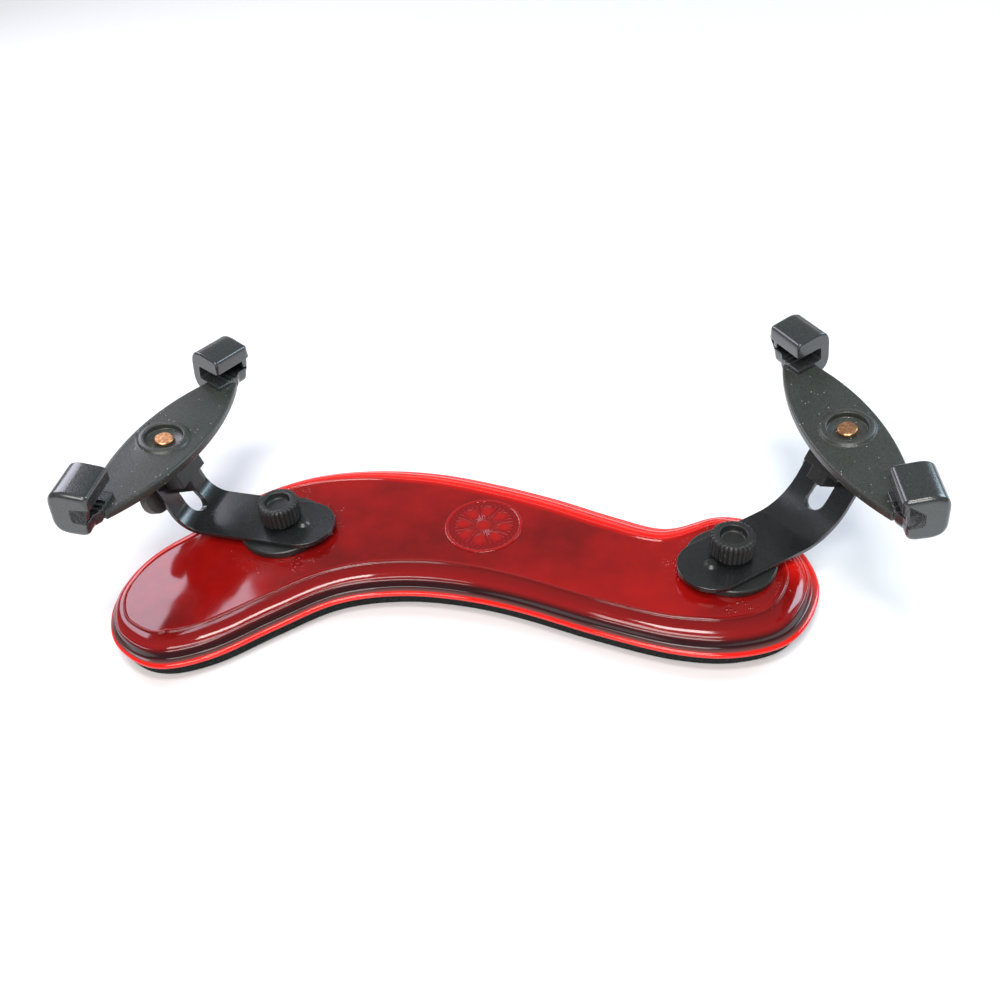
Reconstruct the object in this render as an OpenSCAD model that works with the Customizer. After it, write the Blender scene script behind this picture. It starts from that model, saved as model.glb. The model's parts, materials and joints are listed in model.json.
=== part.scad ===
// Violin shoulder rest: a padded base plate with two slotted legs, each carrying a
// turning fork with two hooked feet. Millimetres, X to the right, Y to the back, Z up.
// The origin lies midway between the two thumb screws, on the underside of the pad.

/* [Base plate] */
// Length of the plate, end to end
plate_len = 206; // [180:1:240]
// Breadth of the plate, front to back
plate_width = 92.4; // [75:0.1:110]
// Distance between the two thumb screws, as a share of the plate's length
screw_share = 0.6738; // [0.6:0.0001:0.7]
// Thickness of the flat part of the plate
plate_t = 2.5; // [2:0.1:4]
// Width of the rolled rim around the flat part
rim_width = 9; // [6:0.5:11]
// Fall of the rim, from the flat top to its lower edge
rim_drop = 5.4; // [4.4:0.1:7]
// Share by which the rim narrows at the left end
left_pinch = 0.5; // [0:0.05:0.6]
// Height of the bead that bounds the flat part
bead_height = 0.45; // [0:0.05:1]
// Diameter of the round badge
badge_d = 24.6; // [16:0.1:30]

/* [Foam pad] */
// Part of the pad that shows below the plate
foam_drop = 5; // [2:0.1:12]
// Distance of the pad's side from the plate's edge
foam_inset = 2; // [1:0.1:3]

/* [Swivel] */
// Diameter of the swivel disc under each leg
disc_d = 27; // [20:0.5:34]
// Thickness of the swivel disc
disc_t = 2.2; // [1.5:0.1:4]
// Diameter of the thumb screw's shank
screw_d = 6; // [4:0.5:8]
// Diameter of the thumb screw's head
screw_head_d = 12.8; // [10:0.2:18]
// Height of the thumb screw's head
screw_head_h = 7; // [5:0.5:10]
// Outer diameter of the threaded insert in the plate
insert_d = 9; // [8:0.5:12]
// Direction of the left leg, back from the line of the screws
left_swivel = 4.7; // [-30:0.1:45]
// Direction of the right leg, back from the line of the screws
right_swivel = 40.2; // [-30:0.1:45]

/* [Legs] */
// Width of each strip
strip_w = 20; // [14:0.5:26]
// Thickness of each strip
strip_t = 1.6; // [1.2:0.1:3]
// Distance from the screw to the rivet
rivet_off = 7.2; // [5:0.1:10]
// Distance from the screw to the bend of the left strip
left_bend_at = 23.5; // [18:0.5:30]
// Distance from the screw to the bend of the right strip
right_bend_at = 19; // [18:0.5:30]
// Inner radius of the left bend
left_bend_r = 8; // [4:0.5:20]
// Inner radius of the right bend
right_bend_r = 16; // [4:0.5:20]
// Slope of the left strip above its bend
left_slope = 74; // [50:1:80]
// Slope of the right strip above its bend
right_slope = 62; // [50:1:80]
// Length of the straight part above the bend
strip_rise = 20; // [16:0.5:26]
// Width of the slot
slot_w = 6.2; // [5:0.1:9]
// Distance from the slot's upper end to the strip's end
slot_margin = 2.8; // [2:0.1:6]

/* [Clamp] */
// Diameter of the clamp stud
stud_d = 5; // [4:0.1:6]
// Height of the stud above the bend, along the strip
stud_at = 10; // [8:0.5:12]
// Width of the carriage block
block_w = 13; // [10:0.5:18]
// Thickness of the carriage block
block_t = 6.5; // [5:0.5:9]
// Distance from the stud to a tip of the clamp knob
knob_reach = 14.5; // [12:0.5:15]
// Thickness of the clamp knob's wings
wing_t = 3.2; // [2:0.1:5]

/* [Forks] */
// Length of the lens-shaped fork plate
fork_len = 82; // [70:1:96]
// Greatest width of the fork plate
fork_w = 21.2; // [16:0.2:26]
// Thickness of the fork plate
fork_t = 3.2; // [2.4:0.1:5]
// Outward reach of the left fork's pivot from its screw
left_fork_x = 33.2; // [28:0.1:40]
// Outward reach of the right fork's pivot from its screw
right_fork_x = 38.8; // [30:0.1:44]
// Height of the left fork's face above its strip's flat part
left_fork_z = 28.3; // [24:0.1:34]
// Height of the right fork's face above its strip's flat part
right_fork_z = 29.4; // [26:0.1:36]
// Tilt of the left fork
left_tilt = 9; // [0:0.5:20]
// Tilt of the right fork
right_tilt = 10; // [0:0.5:20]
// Turn of the left fork about its pivot
left_turn = -5.3; // [-40:0.1:40]
// Turn of the right fork about its pivot
right_turn = -18.3; // [-40:0.1:40]
// Distance of the pivot from the middle line of the fork plate, outwards
pivot_out = 1; // [0:0.1:2]
// Diameter of the pivot pin's head
pin_head_d = 5.7; // [5:0.1:8]
// Diameter of the pivot pin's shank
pin_d = 4; // [3:0.1:5]
// Inner diameter of the raised collar round the pivot
collar_d = 13.6; // [10:0.1:16]

/* [Feet] */
// Length of each foot along the fork
foot_len = 14; // [10:0.5:18]
// Outer height of each hook
hook_h = 15.8; // [14:0.1:22]
// Outer depth of each hook, from its tip to its back
hook_depth = 11.8; // [11:0.1:18]
// Height of the gap that takes the instrument's edge
gap_h = 6; // [4.5:0.1:8]
// Toe-in of each foot
toe_in = 13.5; // [0:0.5:25]

/* [Hidden] */
$fn = 64;
running_gap = 0.05;      // radial clearance of a shaft that turns
loose_gap = 0.2;         // radial clearance of a shaft that only passes through
face_gap = 0.1;          // clearance between faces that turn on each other
cut = 0.5;               // how far a cutting solid runs past a face
spline_steps = 4;        // outline points per control point

screw_span = screw_share * plate_len;        // between the two thumb screws
plate_low = foam_drop;                       // lower edge of the rim
plate_top = plate_low + rim_drop;            // flat face of the plate
plate_bottom = plate_top - plate_t;          // underside of the flat part
disc_low = plate_top + face_gap;
strip_low = disc_low + disc_t;
strip_top = strip_low + strip_t;
washer_t = 1.1;
rivet_d = 3;
rivet_head_d = 4.6;
rivet_head_h = 0.9;
screw_washer_d = 2 * (rivet_off - rivet_head_d / 2 - loose_gap);   // clears the rivet
head_low = strip_top + face_gap + washer_t;
foam_ledge = plate_bottom;                   // top of the pad inside the plate
foam_hollow_inset = 5.2;                     // inset of the pad inside the plate

slot_top = strip_rise - slot_margin;
tongue_low = 3;                              // lower end of the tongue, along the strip
tongue_high = 8;
block_low = 6.8;
block_high = 14.5;
outer_face = -strip_t;                       // outer side of the strip
boss_r = 5.5;
boss_drop = 9;                               // how far the boss reaches below the fork
knob_hub_d = 11;
knob_hub_t = 5;
wing_w = 10;
left_wing_turn = -68;
right_wing_turn = -48;
clamp_washer_t = 1;

fork_r = (pow(fork_len / 2, 2) + pow(fork_w / 2, 2)) / fork_w;   // radius of each side
collar_h = 0.8;
collar_wall = 0.9;
recess_depth = 1;
foot_mid = fork_len / 2 - foot_len / 2 + 1;
hook_low = -4;
hook_tip = -4.2;
gap_low = 1.4;
gap_mid = gap_low + gap_h / 2;
gap_end = 1.4;
back_r = 5.8;
tip_r = 1.4;
core_w = 9;
core_t = 1.4;
skin_t = 1;
jaw_lip = 0.8;           // how far the lower jaw runs past the side of the fork plate
rib_count = 3;
rib_pitch = 1.9;
rib_h = 0.5;
rib_w = 0.8;

plate_colour = [0.62, 0.03, 0.06, 0.9];
foam_colour = [0.03, 0.03, 0.03];
steel_colour = [0.05, 0.05, 0.055];
plastic_colour = [0.12, 0.125, 0.12];
rubber_colour = [0.07, 0.075, 0.075];
brass_colour = [0.85, 0.45, 0.2];

// ---- Outline of the plate, as shares of its length and breadth ----

outline_shares = [
    [0.462, -0.045], [0.442, 0.135], [0.390, 0.247], [0.322, 0.274],
    [0.245, 0.193], [0.165, 0.233], [0.071, 0.304], [-0.032, 0.364],
    [-0.137, 0.402], [-0.240, 0.395], [-0.338, 0.332], [-0.420, 0.200],
    [-0.482, 0.015], [-0.527, -0.120], [-0.548, -0.262], [-0.544, -0.405],
    [-0.507, -0.533], [-0.436, -0.600], [-0.362, -0.540], [-0.288, -0.396],
    [-0.217, -0.269], [-0.133, -0.212], [-0.044, -0.206], [0.046, -0.234],
    [0.163, -0.301], [0.271, -0.346], [0.355, -0.332], [0.426, -0.243]
];

function blend(a, b, c, d, t) =
    0.5 * (2 * b + (c - a) * t + (2 * a - 5 * b + 4 * c - d) * t * t
    + (3 * b - a - 3 * c + d) * t * t * t);

function spline(p) = [
    for (i = [0 : len(p) - 1])
        let (n = len(p), a = p[(i + n - 1) % n], b = p[i], c = p[(i + 1) % n], d = p[(i + 2) % n])
        for (j = [0 : spline_steps - 1])
            blend(a, b, c, d, j / spline_steps)
];

outline = spline([for (s = outline_shares) [s[0] * plate_len, s[1] * plate_width]]);
outline_n = len(outline);

// Outline moved inwards by a distance, square to itself, and by less at the left end
function inset(d) = [
    for (i = [0 : outline_n - 1])
        let (
            chord = outline[(i + 1) % outline_n] - outline[(i + outline_n - 1) % outline_n],
            along = chord / norm(chord)
        )
        outline[i] + d * (1 - left_pinch * max(0, -along[1])) * [-along[1], along[0]]
];

// Section of the plate's edge: distance in from the outline, height
edge_section = [
    [rim_width + 1.6, plate_top],
    [rim_width + 1.2, plate_top + bead_height * 0.75],
    [rim_width + 0.8, plate_top + bead_height],
    [rim_width + 0.4, plate_top + bead_height * 0.75],
    [rim_width, plate_top],
    [rim_width * 0.78, plate_top - rim_drop * 0.03],
    [rim_width * 0.58, plate_top - rim_drop * 0.12],
    [rim_width * 0.42, plate_top - rim_drop * 0.28],
    [rim_width * 0.31, plate_top - rim_drop * 0.50],
    [rim_width * 0.24, plate_top - rim_drop * 0.74],
    [0.9, plate_top - rim_drop * 0.80],
    [0.2, plate_top - rim_drop * 0.86],
    [0, plate_top - rim_drop * 0.92],
    [0.2, plate_low],
    [rim_width * 0.34, plate_low],
    [rim_width * 0.42, plate_top - rim_drop * 0.74],
    [rim_width * 0.50, plate_bottom - 0.4],
    [rim_width * 0.64, plate_bottom],
    [rim_width + 1.6, plate_bottom]
];

// Closed ring that sweeps the section round the outline
module plate_rim() {
    rings = len(edge_section);
    points = [
        for (e = edge_section)
            for (q = inset(e[0]))
                [q[0], q[1], e[1]]
    ];
    walls = [
        for (k = [0 : rings - 1])
            for (i = [0 : outline_n - 1])
                let (j = (i + 1) % outline_n, a = k * outline_n, b = ((k + 1) % rings) * outline_n)
                for (f = [[a + i, a + j, b + j], [a + i, b + j, b + i]])
                    f
    ];
    polyhedron(points = points, faces = walls);
}

flat_overlap = 0.8;      // how far the flat middle runs into the rim

module plate_middle() {
    translate([0, 0, plate_bottom])
        linear_extrude(height = plate_t)
            polygon(inset(rim_width + 1.6 - flat_overlap));
}

// ---- Placing ----

module at_left() {
    translate([-screw_span / 2, 0, 0])
        rotate([0, 0, 180 - left_swivel])
            children();
}

module at_right() {
    translate([screw_span / 2, 0, 0])
        rotate([0, 0, right_swivel])
            children();
}

// Strip frame: X up the strip, Z square to it towards the inner side
module on_strip(bend_at, bend_r, slope) {
    translate([bend_at + bend_r * sin(slope), 0, strip_top + bend_r * (1 - cos(slope))])
        rotate([0, -slope, 0])
            children();
}

// Fork frame: X outwards, Z along the pivot, origin on the fork's face
module on_pivot(x, z, tilt, turn = 0) {
    translate([x, 0, strip_top + z])
        rotate([0, -tilt, 0])
            rotate([0, 0, turn])
                children();
}

// ---- Base ----

module base_plate() {
    color(plate_colour)
        difference() {
            union() {
                plate_rim();
                plate_middle();
            }
            for (side = [-1, 1])
                translate([side * screw_span / 2, 0, plate_bottom - cut])
                    cylinder(d = insert_d, h = plate_t + 2 * cut);
        }
}

badge_x = -0.03 * plate_len;
badge_y = 0.092 * plate_width;
badge_t = 0.35;
badge_ring_w = 1.2;
badge_petals = 8;

module badge() {
    color(plate_colour)
        translate([badge_x, badge_y, plate_top]) {
            cylinder(d = badge_d, h = badge_t);
            translate([0, 0, badge_t])
                difference() {
                    cylinder(d = badge_d, h = badge_t);
                    translate([0, 0, -cut])
                        cylinder(d = badge_d - 2 * badge_ring_w, h = badge_t + 2 * cut);
                }
            for (i = [0 : badge_petals - 1])
                rotate([0, 0, i * 360 / badge_petals])
                    translate([badge_d * 0.25, 0, badge_t])
                        cylinder(d = badge_d * 0.14, h = badge_t);
            translate([0, 0, badge_t])
                cylinder(d = badge_d * 0.2, h = badge_t);
        }
}

module foam_pad() {
    color(foam_colour) {
        linear_extrude(height = plate_low)
            polygon(inset(foam_inset));
        translate([0, 0, plate_low])
            linear_extrude(height = foam_ledge - plate_low)
                polygon(inset(foam_hollow_inset + 0.6));
    }
}

module insert() {
    color(brass_colour)
        translate([0, 0, plate_bottom])
            difference() {
                cylinder(d = insert_d, h = plate_t);
                translate([0, 0, -cut])
                    cylinder(d = screw_d + 2 * running_gap, h = plate_t + 2 * cut);
            }
}

module left_insert() {
    at_left()
        insert();
}

module right_insert() {
    at_right()
        insert();
}

// ---- Legs ----

disc_chamfer = 0.4;

module swivel_disc() {
    color(steel_colour)
        translate([0, 0, disc_low])
            difference() {
                union() {
                    cylinder(d = disc_d, h = disc_t - disc_chamfer);
                    translate([0, 0, disc_t - disc_chamfer])
                        cylinder(d1 = disc_d, d2 = disc_d - 2 * disc_chamfer, h = disc_chamfer);
                }
                translate([0, 0, -cut])
                    cylinder(d = screw_d + 2 * loose_gap, h = disc_t + 2 * cut);
                translate([-rivet_off, 0, -cut])
                    cylinder(d = rivet_d, h = disc_t + 2 * cut);
            }
}

module left_disc() {
    at_left()
        swivel_disc();
}

module right_disc() {
    at_right()
        swivel_disc();
}

slot_foot = 3;           // how far the slot's lower centre lies below the end of the bend
slot_reach = 5;          // how far the slot is cut towards the inner side of the bend
bend_steps = 16;
strip_corner_r = 6;

// Side view of the strip: flat part, bend and straight part, of one thickness
function strip_side(bend_at, bend_r, slope) = [
    for (r = [bend_r, bend_r + strip_t])
        let (inner = (r == bend_r))
        let (tail = [-rivet_off - strip_w / 2, strip_top + bend_r - r])
        let (tip = [
            bend_at + r * sin(slope) + strip_rise * cos(slope),
            strip_top + bend_r - r * cos(slope) + strip_rise * sin(slope)
        ])
        for (i = [0 : bend_steps + 2])
            let (k = inner ? i : bend_steps + 2 - i, a = (k - 1) / bend_steps * slope)
            k == 0 ? tail
                : k == bend_steps + 2 ? tip
                : [bend_at + r * sin(a), strip_top + bend_r - r * cos(a)]
];

// What is cut off a square end to round its two corners
module corner_cut(r) {
    for (side = [-1, 1])
        mirror([0, side < 0 ? 1 : 0, 0])
            translate([-r, strip_w / 2 - r])
                difference() {
                    square(r + cut);
                    circle(r = r);
                }
}

module strip(bend_at, bend_r, slope) {
    color(steel_colour)
        difference() {
            translate([0, strip_w / 2, 0])
                rotate([90, 0, 0])
                    linear_extrude(height = strip_w)
                        polygon(strip_side(bend_at, bend_r, slope));
            translate([0, 0, strip_low - cut])
                cylinder(d = screw_d + 2 * loose_gap, h = strip_t + 2 * cut);
            translate([-rivet_off, 0, strip_low - cut])
                cylinder(d = rivet_d, h = strip_t + 2 * cut);
            translate([-rivet_off - strip_w / 2, 0, strip_low - cut])
                rotate([0, 0, 180])
                    linear_extrude(height = strip_t + 2 * cut)
                        corner_cut(strip_w / 2);
            on_strip(bend_at, bend_r, slope)
                translate([0, 0, -strip_t - cut]) {
                    translate([strip_rise, 0, 0])
                        linear_extrude(height = strip_t + 2 * cut)
                            corner_cut(strip_corner_r);
                    linear_extrude(height = strip_t + cut + slot_reach)
                        strip_slot();
                }
        }
}

// Slot with round ends, in the strip's own plane
module strip_slot() {
    for (x = [-slot_foot, slot_top - slot_w / 2])
        translate([x, 0])
            circle(d = slot_w);
    translate([-slot_foot, -slot_w / 2])
        square([slot_top - slot_w / 2 + slot_foot, slot_w]);
}

module left_strip() {
    at_left()
        strip(left_bend_at, left_bend_r, left_slope);
}

module right_strip() {
    at_right()
        strip(right_bend_at, right_bend_r, right_slope);
}

module rivet() {
    color(steel_colour)
        translate([-rivet_off, 0, disc_low]) {
            cylinder(d = rivet_d, h = disc_t + strip_t);
            translate([0, 0, disc_t + strip_t])
                cylinder(d1 = rivet_head_d, d2 = rivet_head_d * 0.6, h = rivet_head_h);
        }
}

module left_rivet() {
    at_left()
        rivet();
}

module right_rivet() {
    at_right()
        rivet();
}

// ---- Thumb screws ----

knurl_count = 28;
knurl_d = 0.9;
dish_d = 7.6;
dish_depth = 2.2;
head_chamfer = 0.7;
shank_end = plate_bottom + 0.3;

module thumb_screw() {
    color(steel_colour)
        difference() {
            union() {
                translate([0, 0, shank_end])
                    cylinder(d = screw_d, h = head_low - shank_end);
                translate([0, 0, head_low])
                    cylinder(d1 = screw_head_d - 2 * head_chamfer, d2 = screw_head_d, h = head_chamfer);
                translate([0, 0, head_low + head_chamfer])
                    cylinder(d = screw_head_d, h = screw_head_h - 2 * head_chamfer);
                translate([0, 0, head_low + screw_head_h - head_chamfer])
                    cylinder(d1 = screw_head_d, d2 = screw_head_d - 2 * head_chamfer, h = head_chamfer);
            }
            translate([0, 0, head_low + screw_head_h - dish_depth])
                cylinder(d = dish_d, h = dish_depth + cut);
            for (i = [0 : knurl_count - 1])
                rotate([0, 0, i * 360 / knurl_count])
                    translate([screw_head_d / 2 + knurl_d * 0.12, 0, head_low - cut])
                        cylinder(d = knurl_d, h = screw_head_h + 2 * cut, $fn = 12);
        }
}

module left_thumb_screw() {
    at_left()
        thumb_screw();
}

module right_thumb_screw() {
    at_right()
        thumb_screw();
}

module screw_washer() {
    color(steel_colour)
        translate([0, 0, strip_top + face_gap])
            difference() {
                cylinder(d = screw_washer_d, h = washer_t);
                translate([0, 0, -cut])
                    cylinder(d = screw_d, h = washer_t + 2 * cut);
            }
}

module left_screw_washer() {
    at_left()
        screw_washer();
}

module right_screw_washer() {
    at_right()
        screw_washer();
}

// ---- Carriages ----

strip_reach = 80;        // size of the solid that keeps the carriage off the strip
tongue_gap = 0.25;
block_corner = 2.5;
pin_depth = 4.6;         // depth of the pivot pin below the fork's face

module carriage(bend_at, bend_r, slope, x, z, tilt) {
    color(plastic_colour)
        difference() {
            union() {
                difference() {
                    union() {
                        on_strip(bend_at, bend_r, slope)
                            translate([block_low, -block_w / 2, 0])
                                cube([block_high - block_low, block_w, block_t]);
                        on_pivot(x, z, tilt)
                            translate([0, 0, -fork_t - face_gap - boss_drop])
                                cylinder(r = boss_r, h = boss_drop);
                    }
                    on_strip(bend_at, bend_r, slope)
                        translate([-strip_reach / 2, -strip_reach / 2, face_gap - strip_reach])
                            cube(strip_reach);
                }
                on_strip(bend_at, bend_r, slope)
                    translate([tongue_low, -slot_w / 2 + tongue_gap, outer_face + 0.3])
                        cube([tongue_high - tongue_low, slot_w - 2 * tongue_gap, block_t - outer_face - 0.3]);
            }
            on_strip(bend_at, bend_r, slope)
                translate([stud_at, 0, -strip_t - cut])
                    cylinder(d = stud_d + 2 * running_gap, h = block_t);
            on_pivot(x, z, tilt)
                translate([0, 0, -pin_depth - face_gap])
                    cylinder(d = pin_d, h = pin_depth);
        }
}

module left_carriage() {
    at_left()
        carriage(left_bend_at, left_bend_r, left_slope, left_fork_x, left_fork_z, left_tilt);
}

module right_carriage() {
    at_right()
        carriage(right_bend_at, right_bend_r, right_slope, right_fork_x, right_fork_z, right_tilt);
}

pin_head_t = 0.9;
pin_chamfer = 0.3;

module pivot_pin() {
    color(brass_colour)
        translate([0, 0, -pin_depth]) {
            cylinder(d = pin_d, h = pin_depth - recess_depth + face_gap);
            translate([0, 0, pin_depth - recess_depth + face_gap])
                cylinder(d = pin_head_d, h = pin_head_t - pin_chamfer);
            translate([0, 0, pin_depth - recess_depth + face_gap + pin_head_t - pin_chamfer])
                cylinder(d1 = pin_head_d, d2 = pin_head_d - 2 * pin_chamfer, h = pin_chamfer);
        }
}

module left_pivot_pin() {
    at_left()
        on_pivot(left_fork_x, left_fork_z, left_tilt)
            pivot_pin();
}

module right_pivot_pin() {
    at_right()
        on_pivot(right_fork_x, right_fork_z, right_tilt)
            pivot_pin();
}

// ---- Clamp knobs ----

module clamp_knob(wing_turn) {
    color(plastic_colour)
        translate([stud_at, 0, outer_face - face_gap - clamp_washer_t])
            mirror([0, 0, 1])
                difference() {
                    union() {
                        cylinder(d = knob_hub_d, h = knob_hub_t);
                        rotate([0, 0, wing_turn])
                            linear_extrude(height = wing_t)
                                union() {
                                    translate([-knob_reach + wing_w / 2, -wing_w / 2])
                                        square([2 * knob_reach - wing_w, wing_w]);
                                    for (side = [-1, 1])
                                        translate([side * (knob_reach - wing_w / 2), 0])
                                            circle(d = wing_w);
                                }
                    }
                    translate([0, 0, -cut])
                        cylinder(d = stud_d, h = knob_hub_t - 1 + cut);
                }
}

module left_clamp_knob() {
    at_left()
        on_strip(left_bend_at, left_bend_r, left_slope)
            clamp_knob(left_wing_turn);
}

module right_clamp_knob() {
    at_right()
        on_strip(right_bend_at, right_bend_r, right_slope)
            clamp_knob(right_wing_turn);
}

stud_in = 4;             // how far the stud runs into the carriage

module clamp_stud() {
    color(brass_colour)
        translate([stud_at, 0, outer_face - face_gap - clamp_washer_t - knob_hub_t + 1])
            cylinder(d = stud_d, h = stud_in + strip_t + face_gap + clamp_washer_t + knob_hub_t - 1);
}

module left_clamp_stud() {
    at_left()
        on_strip(left_bend_at, left_bend_r, left_slope)
            clamp_stud();
}

module right_clamp_stud() {
    at_right()
        on_strip(right_bend_at, right_bend_r, right_slope)
            clamp_stud();
}

clamp_washer_d = 12;

module clamp_washer() {
    color(steel_colour)
        translate([stud_at, 0, outer_face - face_gap - clamp_washer_t])
            difference() {
                cylinder(d = clamp_washer_d, h = clamp_washer_t);
                translate([0, 0, -cut])
                    cylinder(d = stud_d, h = clamp_washer_t + 2 * cut);
            }
}

module left_clamp_washer() {
    at_left()
        on_strip(left_bend_at, left_bend_r, left_slope)
            clamp_washer();
}

module right_clamp_washer() {
    at_right()
        on_strip(right_bend_at, right_bend_r, right_slope)
            clamp_washer();
}

// ---- Forks ----

// Hook seen along the fork: X outwards, Y up, both from the fork's face
module hook_outline() {
    difference() {
        union() {
            translate([hook_tip, hook_low + back_r])
                square([hook_depth, hook_h - 2 * back_r]);
            translate([hook_tip + tip_r, hook_low])
                square([hook_depth - tip_r - back_r, hook_h]);
            translate([hook_tip, hook_low + tip_r])
                square([hook_depth / 2, hook_h - 2 * tip_r]);
            for (y = [hook_low + tip_r, hook_low + hook_h - tip_r])
                translate([hook_tip + tip_r, y])
                    circle(r = tip_r);
            for (y = [hook_low + back_r, hook_low + hook_h - back_r])
                translate([hook_tip + hook_depth - back_r, y])
                    circle(r = back_r);
        }
        slot_shape(gap_h / 2, hook_tip - cut);
    }
}

// Round-ended slot, open on the inner side
module slot_shape(r, from_x) {
    translate([gap_end, gap_mid])
        circle(r = r);
    translate([from_x, gap_mid - r])
        square([gap_end - from_x, 2 * r]);
}

module at_foot(side) {
    translate([0, side * foot_mid, 0])
        rotate([0, 0, side * toe_in])
            children();
}

module hook_core() {
    rotate([90, 0, 0])
        translate([0, 0, -core_w / 2])
            linear_extrude(height = core_w)
                difference() {
                    slot_shape(gap_h / 2 + skin_t + core_t, hook_tip + skin_t);
                    slot_shape(gap_h / 2 + skin_t, hook_tip - cut);
                }
}

module hook_block() {
    rotate([90, 0, 0])
        translate([0, 0, -foot_len / 2])
            linear_extrude(height = foot_len)
                hook_outline();
    for (i = [0 : rib_count - 1])
        translate([hook_tip, (i - 1) * rib_pitch - rib_w / 2, gap_low])
            cube([gap_end - hook_tip, rib_w, rib_h]);
}

// Space on the inner side of the fork that the lower jaw leaves free
module inner_side() {
    translate([0, 0, gap_mid - fork_len])
        linear_extrude(height = fork_len)
            difference() {
                translate([-fork_len, -fork_len])
                    square([fork_len, 2 * fork_len]);
                translate([fork_r - fork_w / 2 - pivot_out - jaw_lip, 0])
                    circle(r = fork_r, $fn = 240);
            }
}

module foot_boot(side) {
    color(rubber_colour)
        difference() {
            at_foot(side)
                hook_block();
            at_foot(side)
                hook_core();
            inner_side();
            fork_blade();
        }
}

// Flat lens between two arcs
module lens(half_w) {
    translate([-pivot_out, 0])
        intersection() {
            translate([fork_r - half_w, 0])
                circle(r = fork_r, $fn = 240);
            translate([half_w - fork_r, 0])
                circle(r = fork_r, $fn = 240);
            square([fork_w, fork_len - foot_len], center = true);
        }
}

module fork_blade() {
    translate([0, 0, -fork_t])
        linear_extrude(height = fork_t)
            lens(fork_w / 2);
}

module fork_plate() {
    color(plastic_colour)
        difference() {
            union() {
                fork_blade();
                cylinder(d = collar_d + 2 * collar_wall, h = collar_h);
                for (side = [-1, 1])
                    at_foot(side)
                        hook_core();
            }
            translate([0, 0, -recess_depth])
                cylinder(d = collar_d, h = recess_depth + collar_h + cut);
            translate([0, 0, -fork_t - cut])
                cylinder(d = pin_d + 2 * running_gap, h = fork_t + 2 * cut);
        }
}

module left_fork_frame() {
    at_left()
        on_pivot(left_fork_x, left_fork_z, left_tilt, left_turn)
            children();
}

module right_fork_frame() {
    at_right()
        on_pivot(right_fork_x, right_fork_z, right_tilt, right_turn)
            children();
}

module left_fork() {
    left_fork_frame()
        fork_plate();
}

module right_fork() {
    right_fork_frame()
        fork_plate();
}

module left_near_foot() {
    left_fork_frame()
        foot_boot(1);
}

module left_far_foot() {
    left_fork_frame()
        foot_boot(-1);
}

module right_near_foot() {
    right_fork_frame()
        foot_boot(-1);
}

module right_far_foot() {
    right_fork_frame()
        foot_boot(1);
}

base_plate();
badge();
foam_pad();
left_insert();
right_insert();
left_disc();
right_disc();
left_strip();
right_strip();
left_rivet();
right_rivet();
left_thumb_screw();
right_thumb_screw();
left_screw_washer();
right_screw_washer();
left_carriage();
right_carriage();
left_pivot_pin();
right_pivot_pin();
left_clamp_knob();
right_clamp_knob();
left_clamp_stud();
right_clamp_stud();
left_clamp_washer();
right_clamp_washer();
left_fork();
right_fork();
left_near_foot();
left_far_foot();
right_near_foot();
right_far_foot();
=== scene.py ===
import json
import math

import bpy
import numpy as np
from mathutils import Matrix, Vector


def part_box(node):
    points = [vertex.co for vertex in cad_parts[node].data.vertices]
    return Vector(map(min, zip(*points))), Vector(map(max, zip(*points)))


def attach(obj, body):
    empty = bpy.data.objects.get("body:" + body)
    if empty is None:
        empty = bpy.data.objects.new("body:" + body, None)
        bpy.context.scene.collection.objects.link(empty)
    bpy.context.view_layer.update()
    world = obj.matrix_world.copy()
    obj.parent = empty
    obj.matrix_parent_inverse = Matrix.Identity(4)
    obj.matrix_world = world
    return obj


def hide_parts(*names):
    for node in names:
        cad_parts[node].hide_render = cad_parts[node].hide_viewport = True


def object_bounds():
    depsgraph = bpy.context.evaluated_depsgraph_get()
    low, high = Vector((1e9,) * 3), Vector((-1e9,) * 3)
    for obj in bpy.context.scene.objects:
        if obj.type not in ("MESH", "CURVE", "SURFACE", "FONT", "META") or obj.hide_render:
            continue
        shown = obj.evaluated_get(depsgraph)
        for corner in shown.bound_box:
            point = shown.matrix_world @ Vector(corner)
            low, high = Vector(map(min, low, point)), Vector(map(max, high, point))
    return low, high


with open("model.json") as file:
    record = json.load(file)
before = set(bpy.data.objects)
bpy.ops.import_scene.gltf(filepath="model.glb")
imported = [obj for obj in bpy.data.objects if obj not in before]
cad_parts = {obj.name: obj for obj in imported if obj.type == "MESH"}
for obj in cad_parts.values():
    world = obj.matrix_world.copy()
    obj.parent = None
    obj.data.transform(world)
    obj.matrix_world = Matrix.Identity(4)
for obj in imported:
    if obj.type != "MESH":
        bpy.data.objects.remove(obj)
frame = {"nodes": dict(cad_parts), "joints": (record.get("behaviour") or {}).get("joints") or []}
cadLow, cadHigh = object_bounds()
mm = 0.001
tau = 2 * math.pi
joints = {j["name"]: j for j in frame["joints"]}
print("frame loaded:", len(frame["nodes"]), "nodes")


# corner points of a CAD node, one row each
def nodePoints(name):
    mesh = frame["nodes"][name].data
    flat = np.empty(len(mesh.vertices) * 3, np.float32)
    mesh.vertices.foreach_get("co", flat)
    return flat.reshape(-1, 3).astype(float)


# vector divided by its own length
def unit(v):
    return v / np.linalg.norm(v)


# quads of a grid whose columns close on themselves: corner (i, j) joins (i, j+1), (i+1, j+1), (i+1, j)
def gridQuads(rows, cols, rowsClose=False):
    i = np.arange(rows if rowsClose else rows - 1)[:, None]
    j = np.arange(cols)[None, :]
    here, there = i * cols, (i + 1) % rows * cols
    across = (j + 1) % cols
    return np.stack([here + j, here + across, there + across, there + j], -1).reshape(-1, 4)


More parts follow.
